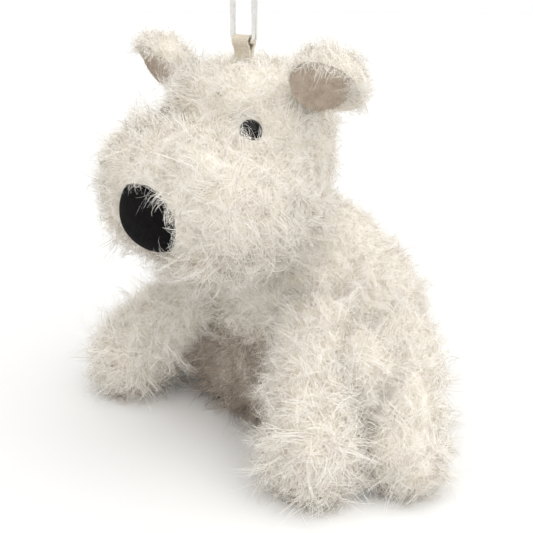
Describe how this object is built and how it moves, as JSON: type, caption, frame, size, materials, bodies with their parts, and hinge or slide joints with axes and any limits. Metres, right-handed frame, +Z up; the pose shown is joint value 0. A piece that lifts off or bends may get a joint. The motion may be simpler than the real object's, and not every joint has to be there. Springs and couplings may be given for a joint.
{
  "type": "plush dog bag charm",
  "caption": "Small sitting plush dog in curly cream pile with splayed legs, folded ears, a suede nose and a ring on a woven tab.",
  "frame": {"origin": "on the ground, in the middle of the object's box", "axes": "+Z up, the dog looks along -Y, and its left side is +X"},
  "size_m": [0.138, 0.1174, 0.1329],
  "materials": {
    "pile_fabric": "long curly cream pile",
    "ear_lining": "short brushed beige fabric",
    "fibre_fill": "loose white fibre",
    "nose_suede": "matt black suede cloth",
    "eye_plastic": "polished black",
    "washer_plastic": "white moulding",
    "webbing": "woven beige tape",
    "ring_steel": "polished nickel plate"
  },
  "bodies": {
    "root": {"body_cover": "pile_fabric", "body_stuffing": "fibre_fill"},
    "neck": {"neck_stuffing": "fibre_fill"},
    "head": {"head_cover": "pile_fabric", "head_stuffing": "fibre_fill", "nose_patch": "nose_suede", "eye_left": "eye_plastic", "eye_right": "eye_plastic", "eye_washer_left": "washer_plastic", "eye_washer_right": "washer_plastic"},
    "ear_left": {"ear_cover_left": "pile_fabric", "ear_lining_left": "ear_lining"},
    "ear_right": {"ear_cover_right": "pile_fabric", "ear_lining_right": "ear_lining"},
    "tab": {"loop_tab": "webbing"},
    "ring": {"hanging_ring": "ring_steel"},
    "front_leg_left": {"front_leg_left_cover": "pile_fabric", "front_leg_left_stuffing": "fibre_fill"},
    "front_leg_right": {"front_leg_right_cover": "pile_fabric", "front_leg_right_stuffing": "fibre_fill"},
    "hind_leg_left": {"hind_leg_left_cover": "pile_fabric", "hind_leg_left_stuffing": "fibre_fill"},
    "hind_leg_right": {"hind_leg_right_cover": "pile_fabric", "hind_leg_right_stuffing": "fibre_fill"},
    "tail": {"tail_cover": "pile_fabric", "tail_stuffing": "fibre_fill"}
  },
  "joints": [
    {"name": "neck_nod", "type": "hinge", "parent": "root", "child": "neck", "pos_m": [0, -0.00174, 0.062], "axis": [1, 0, 0], "range_deg": [-10, 12], "stiffness_Nm_per_rad": 0.3},
    {"name": "head_turn", "type": "hinge", "parent": "neck", "child": "head", "pos_m": [0, -0.00174, 0.062], "axis": [0, 0, 1], "range_deg": [-25, 25], "stiffness_Nm_per_rad": 0.15},
    {"name": "ear_left_flop", "type": "hinge", "parent": "head", "child": "ear_left", "pos_m": [0.0235, -0.01674, 0.104], "axis": [1, 0, 0], "range_deg": [-12, 12], "stiffness_Nm_per_rad": 0.006},
    {"name": "ear_right_flop", "type": "hinge", "parent": "head", "child": "ear_right", "pos_m": [-0.0235, -0.01674, 0.104], "axis": [1, 0, 0], "range_deg": [-12, 12], "stiffness_Nm_per_rad": 0.006},
    {"name": "tab_bend", "type": "hinge", "parent": "head", "child": "tab", "pos_m": [0, -0.01854, 0.1142], "axis": [1, 0, 0], "range_deg": [-25, 25], "stiffness_Nm_per_rad": 0.006},
    {"name": "ring_swing", "type": "hinge", "parent": "tab", "child": "ring", "pos_m": [0, -0.01854, 0.1178], "axis": [1, 0, 0], "range_deg": [-80, 80]},
    {"name": "front_leg_left_swing", "type": "hinge", "parent": "root", "child": "front_leg_left", "pos_m": [0.023, -0.01274, 0.036], "axis": [-1, 0, 0], "range_deg": [0, 30], "stiffness_Nm_per_rad": 0.08},
    {"name": "front_leg_right_swing", "type": "hinge", "parent": "root", "child": "front_leg_right", "pos_m": [-0.023, -0.01274, 0.036], "axis": [-1, 0, 0], "range_deg": [0, 30], "stiffness_Nm_per_rad": 0.08},
    {"name": "hind_leg_left_splay", "type": "hinge", "parent": "root", "child": "hind_leg_left", "pos_m": [0.032, 0.01276, 0.023], "axis": [0, 0, 1], "range_deg": [0, 25], "stiffness_Nm_per_rad": 0.08},
    {"name": "hind_leg_right_splay", "type": "hinge", "parent": "root", "child": "hind_leg_right", "pos_m": [-0.032, 0.01276, 0.023], "axis": [0, 0, -1], "range_deg": [0, 25], "stiffness_Nm_per_rad": 0.08},
    {"name": "tail_wag", "type": "hinge", "parent": "root", "child": "tail", "pos_m": [0, 0.04856, 0.024], "axis": [0, 0, 1], "range_deg": [-20, 20], "stiffness_Nm_per_rad": 0.003}
  ]
}
